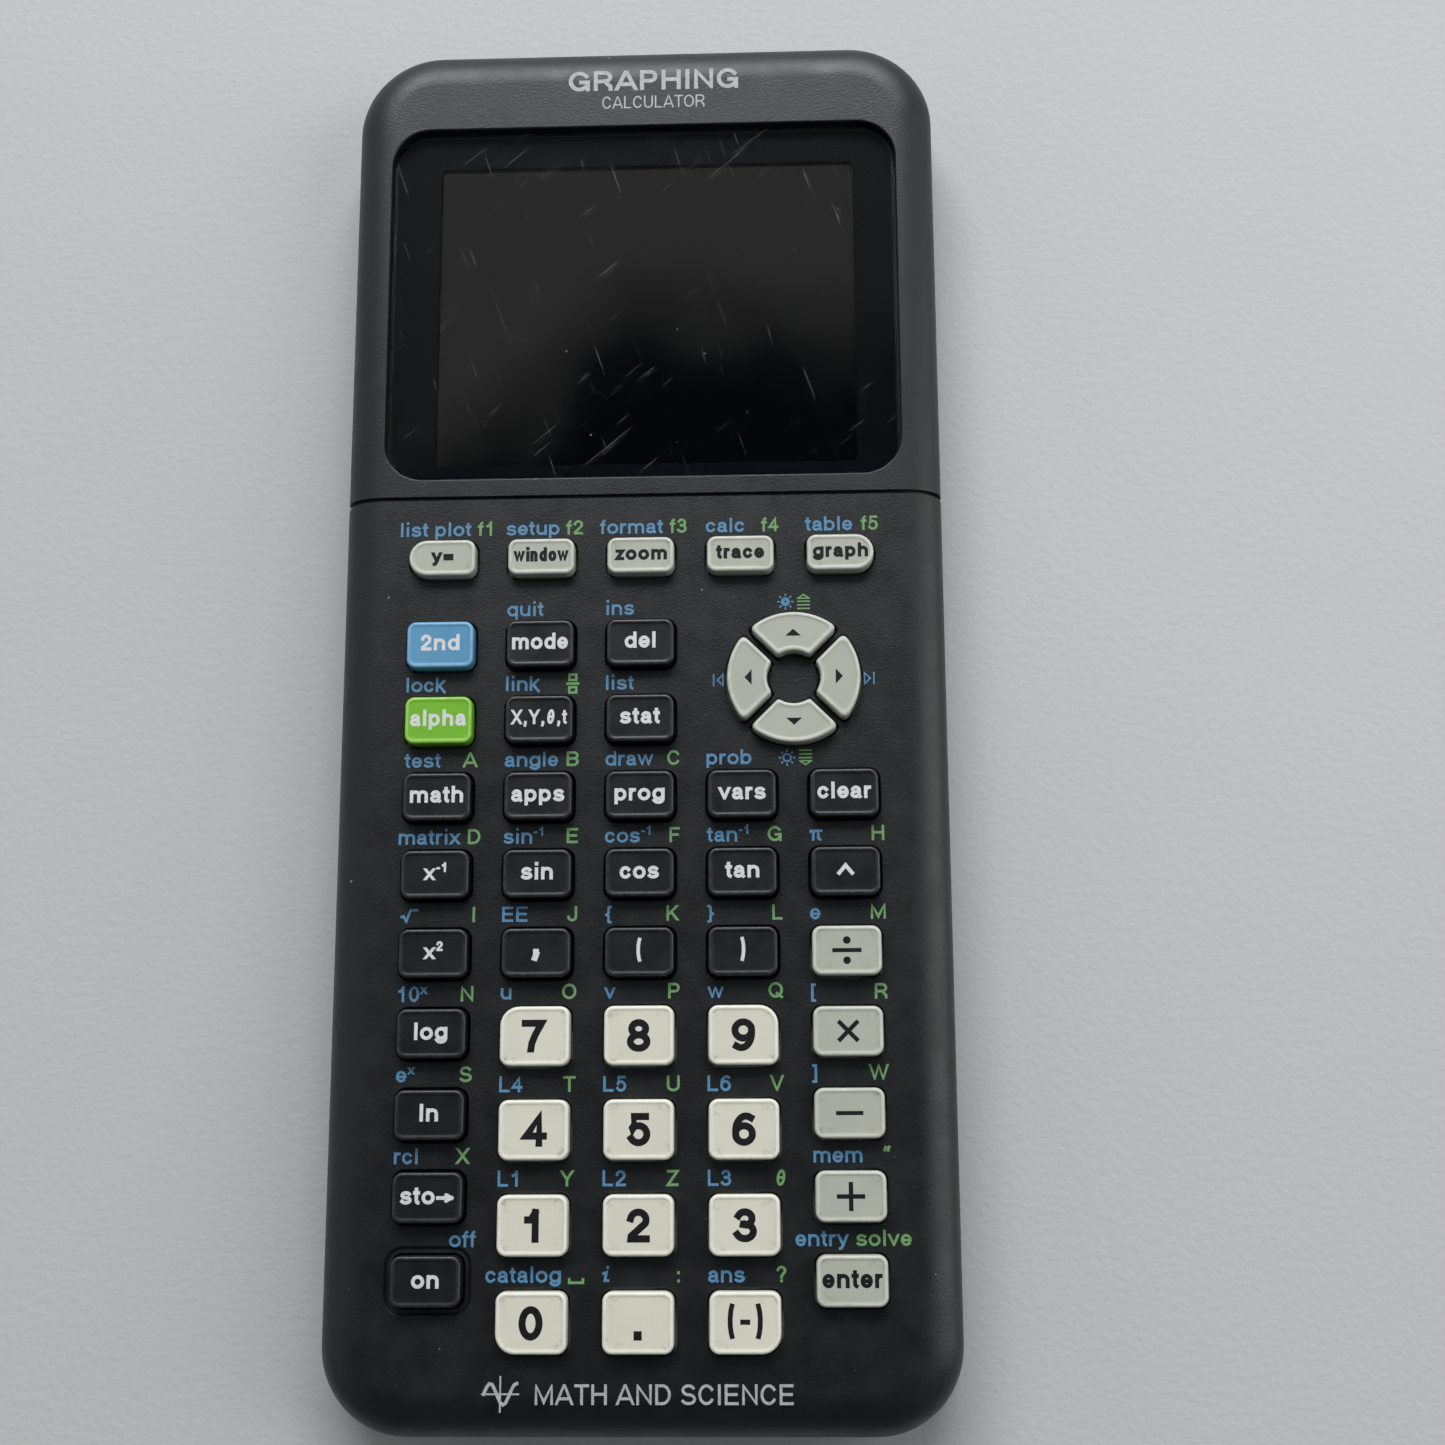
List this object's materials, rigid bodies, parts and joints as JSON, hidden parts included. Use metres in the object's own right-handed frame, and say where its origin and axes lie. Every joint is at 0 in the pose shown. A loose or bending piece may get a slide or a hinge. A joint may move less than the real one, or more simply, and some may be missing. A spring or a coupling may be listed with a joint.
{
  "type": "graphing calculator",
  "caption": "Hand-held graphing calculator with a rounded black case, a recessed colour display window, and travelling black, white, blue and green keys with an arrow ring.",
  "frame": {"origin": "centre of the flat back that the calculator rests on, at the middle of its length and width", "axes": "+X to the right seen from the front, +Y along the length towards the display end, +Z out of the front face through the keys"},
  "size_m": [0.0826, 0.192, 0.0157],
  "materials": {
    "black_case": "fine-grained satin charcoal-black plastic",
    "window": "clear glossy acrylic with a dark border behind it, finely scratched",
    "lcd_module": "dark display glass in a metal frame",
    "board": "green solder-masked circuit board",
    "rubber": "matte grey silicone",
    "battery_wrap": "matte dark blue wrapping",
    "socket_metal": "bright plated steel",
    "reset_plunger": "matte grey plastic",
    "black_keys": "satin black plastic with off-white print",
    "white_keys": "satin warm white plastic with black print",
    "blue_key": "satin light blue plastic with white print",
    "green_key": "satin leaf green plastic with white print"
  },
  "bodies": {
    "case": {"battery_door": "black_case", "battery_pack": "battery_wrap", "display_window": "window", "front_case": "black_case", "keypad_mat": "rubber", "lcd_module": "lcd_module", "main_board": "board", "rear_case": "black_case", "usb_socket": "socket_metal"},
    "reset_button": {"reset_button": "reset_plunger"},
    "key_0": {"key_0": "white_keys"},
    "key_1": {"key_1": "white_keys"},
    "key_2": {"key_2": "white_keys"},
    "key_2nd": {"key_2nd": "blue_key"},
    "key_3": {"key_3": "white_keys"},
    "key_4": {"key_4": "white_keys"},
    "key_5": {"key_5": "white_keys"},
    "key_6": {"key_6": "white_keys"},
    "key_7": {"key_7": "white_keys"},
    "key_8": {"key_8": "white_keys"},
    "key_9": {"key_9": "white_keys"},
    "key_alpha": {"key_alpha": "green_key"},
    "key_apps": {"key_apps": "black_keys"},
    "key_clear": {"key_clear": "black_keys"},
    "key_close_bracket": {"key_close_bracket": "black_keys"},
    "key_comma": {"key_comma": "black_keys"},
    "key_cos": {"key_cos": "black_keys"},
    "key_del": {"key_del": "black_keys"},
    "key_divide": {"key_divide": "white_keys"},
    "key_down": {"key_down": "white_keys"},
    "key_enter": {"key_enter": "white_keys"},
    "key_graph": {"key_graph": "white_keys"},
    "key_inverse": {"key_inverse": "black_keys"},
    "key_left": {"key_left": "white_keys"},
    "key_ln": {"key_ln": "black_keys"},
    "key_log": {"key_log": "black_keys"},
    "key_math": {"key_math": "black_keys"},
    "key_minus": {"key_minus": "white_keys"},
    "key_mode": {"key_mode": "black_keys"},
    "key_multiply": {"key_multiply": "white_keys"},
    "key_negative": {"key_negative": "white_keys"},
    "key_on": {"key_on": "black_keys"},
    "key_open_bracket": {"key_open_bracket": "black_keys"},
    "key_plus": {"key_plus": "white_keys"},
    "key_point": {"key_point": "white_keys"},
    "key_power": {"key_power": "black_keys"},
    "key_prgm": {"key_prgm": "black_keys"},
    "key_right": {"key_right": "white_keys"},
    "key_sin": {"key_sin": "black_keys"},
    "key_square": {"key_square": "black_keys"},
    "key_stat": {"key_stat": "black_keys"},
    "key_store": {"key_store": "black_keys"},
    "key_tan": {"key_tan": "black_keys"},
    "key_trace": {"key_trace": "white_keys"},
    "key_up": {"key_up": "white_keys"},
    "key_variable": {"key_variable": "black_keys"},
    "key_vars": {"key_vars": "black_keys"},
    "key_window": {"key_window": "white_keys"},
    "key_y_equals": {"key_y_equals": "white_keys"},
    "key_zoom": {"key_zoom": "white_keys"}
  },
  "joints": [
    {"name": "reset_press", "type": "slide", "parent": "case", "child": "reset_button", "axis": [0, 0, 1], "range_m": [0, 0.0006], "stiffness_N_per_m": 600, "springref_m": -0.0003},
    {"name": "press_0", "type": "slide", "parent": "case", "child": "key_0", "axis": [0, 0, 1], "range_m": [-0.001, 0], "stiffness_N_per_m": 400, "springref_m": 0.0004},
    {"name": "press_1", "type": "slide", "parent": "case", "child": "key_1", "axis": [0, 0, 1], "range_m": [-0.001, 0], "stiffness_N_per_m": 400, "springref_m": 0.0004},
    {"name": "press_2", "type": "slide", "parent": "case", "child": "key_2", "axis": [0, 0, 1], "range_m": [-0.001, 0], "stiffness_N_per_m": 400, "springref_m": 0.0004},
    {"name": "press_2nd", "type": "slide", "parent": "case", "child": "key_2nd", "axis": [0, 0, 1], "range_m": [-0.001, 0], "stiffness_N_per_m": 400, "springref_m": 0.0004},
    {"name": "press_3", "type": "slide", "parent": "case", "child": "key_3", "axis": [0, 0, 1], "range_m": [-0.001, 0], "stiffness_N_per_m": 400, "springref_m": 0.0004},
    {"name": "press_4", "type": "slide", "parent": "case", "child": "key_4", "axis": [0, 0, 1], "range_m": [-0.001, 0], "stiffness_N_per_m": 400, "springref_m": 0.0004},
    {"name": "press_5", "type": "slide", "parent": "case", "child": "key_5", "axis": [0, 0, 1], "range_m": [-0.001, 0], "stiffness_N_per_m": 400, "springref_m": 0.0004},
    {"name": "press_6", "type": "slide", "parent": "case", "child": "key_6", "axis": [0, 0, 1], "range_m": [-0.001, 0], "stiffness_N_per_m": 400, "springref_m": 0.0004},
    {"name": "press_7", "type": "slide", "parent": "case", "child": "key_7", "axis": [0, 0, 1], "range_m": [-0.001, 0], "stiffness_N_per_m": 400, "springref_m": 0.0004},
    {"name": "press_8", "type": "slide", "parent": "case", "child": "key_8", "axis": [0, 0, 1], "range_m": [-0.001, 0], "stiffness_N_per_m": 400, "springref_m": 0.0004},
    {"name": "press_9", "type": "slide", "parent": "case", "child": "key_9", "axis": [0, 0, 1], "range_m": [-0.001, 0], "stiffness_N_per_m": 400, "springref_m": 0.0004},
    {"name": "press_alpha", "type": "slide", "parent": "case", "child": "key_alpha", "axis": [0, 0, 1], "range_m": [-0.001, 0], "stiffness_N_per_m": 400, "springref_m": 0.0004},
    {"name": "press_apps", "type": "slide", "parent": "case", "child": "key_apps", "axis": [0, 0, 1], "range_m": [-0.001, 0], "stiffness_N_per_m": 400, "springref_m": 0.0004},
    {"name": "press_clear", "type": "slide", "parent": "case", "child": "key_clear", "axis": [0, 0, 1], "range_m": [-0.001, 0], "stiffness_N_per_m": 400, "springref_m": 0.0004},
    {"name": "press_close_bracket", "type": "slide", "parent": "case", "child": "key_close_bracket", "axis": [0, 0, 1], "range_m": [-0.001, 0], "stiffness_N_per_m": 400, "springref_m": 0.0004},
    {"name": "press_comma", "type": "slide", "parent": "case", "child": "key_comma", "axis": [0, 0, 1], "range_m": [-0.001, 0], "stiffness_N_per_m": 400, "springref_m": 0.0004},
    {"name": "press_cos", "type": "slide", "parent": "case", "child": "key_cos", "axis": [0, 0, 1], "range_m": [-0.001, 0], "stiffness_N_per_m": 400, "springref_m": 0.0004},
    {"name": "press_del", "type": "slide", "parent": "case", "child": "key_del", "axis": [0, 0, 1], "range_m": [-0.001, 0], "stiffness_N_per_m": 400, "springref_m": 0.0004},
    {"name": "press_divide", "type": "slide", "parent": "case", "child": "key_divide", "axis": [0, 0, 1], "range_m": [-0.001, 0], "stiffness_N_per_m": 400, "springref_m": 0.0004},
    {"name": "press_down", "type": "slide", "parent": "case", "child": "key_down", "axis": [0, 0, 1], "range_m": [-0.001, 0], "stiffness_N_per_m": 400, "springref_m": 0.0004},
    {"name": "press_enter", "type": "slide", "parent": "case", "child": "key_enter", "axis": [0, 0, 1], "range_m": [-0.001, 0], "stiffness_N_per_m": 400, "springref_m": 0.0004},
    {"name": "press_graph", "type": "slide", "parent": "case", "child": "key_graph", "axis": [0, 0, 1], "range_m": [-0.001, 0], "stiffness_N_per_m": 400, "springref_m": 0.0004},
    {"name": "press_inverse", "type": "slide", "parent": "case", "child": "key_inverse", "axis": [0, 0, 1], "range_m": [-0.001, 0], "stiffness_N_per_m": 400, "springref_m": 0.0004},
    {"name": "press_left", "type": "slide", "parent": "case", "child": "key_left", "axis": [0, 0, 1], "range_m": [-0.001, 0], "stiffness_N_per_m": 400, "springref_m": 0.0004},
    {"name": "press_ln", "type": "slide", "parent": "case", "child": "key_ln", "axis": [0, 0, 1], "range_m": [-0.001, 0], "stiffness_N_per_m": 400, "springref_m": 0.0004},
    {"name": "press_log", "type": "slide", "parent": "case", "child": "key_log", "axis": [0, 0, 1], "range_m": [-0.001, 0], "stiffness_N_per_m": 400, "springref_m": 0.0004},
    {"name": "press_math", "type": "slide", "parent": "case", "child": "key_math", "axis": [0, 0, 1], "range_m": [-0.001, 0], "stiffness_N_per_m": 400, "springref_m": 0.0004},
    {"name": "press_minus", "type": "slide", "parent": "case", "child": "key_minus", "axis": [0, 0, 1], "range_m": [-0.001, 0], "stiffness_N_per_m": 400, "springref_m": 0.0004},
    {"name": "press_mode", "type": "slide", "parent": "case", "child": "key_mode", "axis": [0, 0, 1], "range_m": [-0.001, 0], "stiffness_N_per_m": 400, "springref_m": 0.0004},
    {"name": "press_multiply", "type": "slide", "parent": "case", "child": "key_multiply", "axis": [0, 0, 1], "range_m": [-0.001, 0], "stiffness_N_per_m": 400, "springref_m": 0.0004},
    {"name": "press_negative", "type": "slide", "parent": "case", "child": "key_negative", "axis": [0, 0, 1], "range_m": [-0.001, 0], "stiffness_N_per_m": 400, "springref_m": 0.0004},
    {"name": "press_on", "type": "slide", "parent": "case", "child": "key_on", "axis": [0, 0, 1], "range_m": [-0.001, 0], "stiffness_N_per_m": 400, "springref_m": 0.0004},
    {"name": "press_open_bracket", "type": "slide", "parent": "case", "child": "key_open_bracket", "axis": [0, 0, 1], "range_m": [-0.001, 0], "stiffness_N_per_m": 400, "springref_m": 0.0004},
    {"name": "press_plus", "type": "slide", "parent": "case", "child": "key_plus", "axis": [0, 0, 1], "range_m": [-0.001, 0], "stiffness_N_per_m": 400, "springref_m": 0.0004},
    {"name": "press_point", "type": "slide", "parent": "case", "child": "key_point", "axis": [0, 0, 1], "range_m": [-0.001, 0], "stiffness_N_per_m": 400, "springref_m": 0.0004},
    {"name": "press_power", "type": "slide", "parent": "case", "child": "key_power", "axis": [0, 0, 1], "range_m": [-0.001, 0], "stiffness_N_per_m": 400, "springref_m": 0.0004},
    {"name": "press_prgm", "type": "slide", "parent": "case", "child": "key_prgm", "axis": [0, 0, 1], "range_m": [-0.001, 0], "stiffness_N_per_m": 400, "springref_m": 0.0004},
    {"name": "press_right", "type": "slide", "parent": "case", "child": "key_right", "axis": [0, 0, 1], "range_m": [-0.001, 0], "stiffness_N_per_m": 400, "springref_m": 0.0004},
    {"name": "press_sin", "type": "slide", "parent": "case", "child": "key_sin", "axis": [0, 0, 1], "range_m": [-0.001, 0], "stiffness_N_per_m": 400, "springref_m": 0.0004},
    {"name": "press_square", "type": "slide", "parent": "case", "child": "key_square", "axis": [0, 0, 1], "range_m": [-0.001, 0], "stiffness_N_per_m": 400, "springref_m": 0.0004},
    {"name": "press_stat", "type": "slide", "parent": "case", "child": "key_stat", "axis": [0, 0, 1], "range_m": [-0.001, 0], "stiffness_N_per_m": 400, "springref_m": 0.0004},
    {"name": "press_store", "type": "slide", "parent": "case", "child": "key_store", "axis": [0, 0, 1], "range_m": [-0.001, 0], "stiffness_N_per_m": 400, "springref_m": 0.0004},
    {"name": "press_tan", "type": "slide", "parent": "case", "child": "key_tan", "axis": [0, 0, 1], "range_m": [-0.001, 0], "stiffness_N_per_m": 400, "springref_m": 0.0004},
    {"name": "press_trace", "type": "slide", "parent": "case", "child": "key_trace", "axis": [0, 0, 1], "range_m": [-0.001, 0], "stiffness_N_per_m": 400, "springref_m": 0.0004},
    {"name": "press_up", "type": "slide", "parent": "case", "child": "key_up", "axis": [0, 0, 1], "range_m": [-0.001, 0], "stiffness_N_per_m": 400, "springref_m": 0.0004},
    {"name": "press_variable", "type": "slide", "parent": "case", "child": "key_variable", "axis": [0, 0, 1], "range_m": [-0.001, 0], "stiffness_N_per_m": 400, "springref_m": 0.0004},
    {"name": "press_vars", "type": "slide", "parent": "case", "child": "key_vars", "axis": [0, 0, 1], "range_m": [-0.001, 0], "stiffness_N_per_m": 400, "springref_m": 0.0004},
    {"name": "press_window", "type": "slide", "parent": "case", "child": "key_window", "axis": [0, 0, 1], "range_m": [-0.001, 0], "stiffness_N_per_m": 400, "springref_m": 0.0004},
    {"name": "press_y_equals", "type": "slide", "parent": "case", "child": "key_y_equals", "axis": [0, 0, 1], "range_m": [-0.001, 0], "stiffness_N_per_m": 400, "springref_m": 0.0004},
    {"name": "press_zoom", "type": "slide", "parent": "case", "child": "key_zoom", "axis": [0, 0, 1], "range_m": [-0.001, 0], "stiffness_N_per_m": 400, "springref_m": 0.0004}
  ]
}
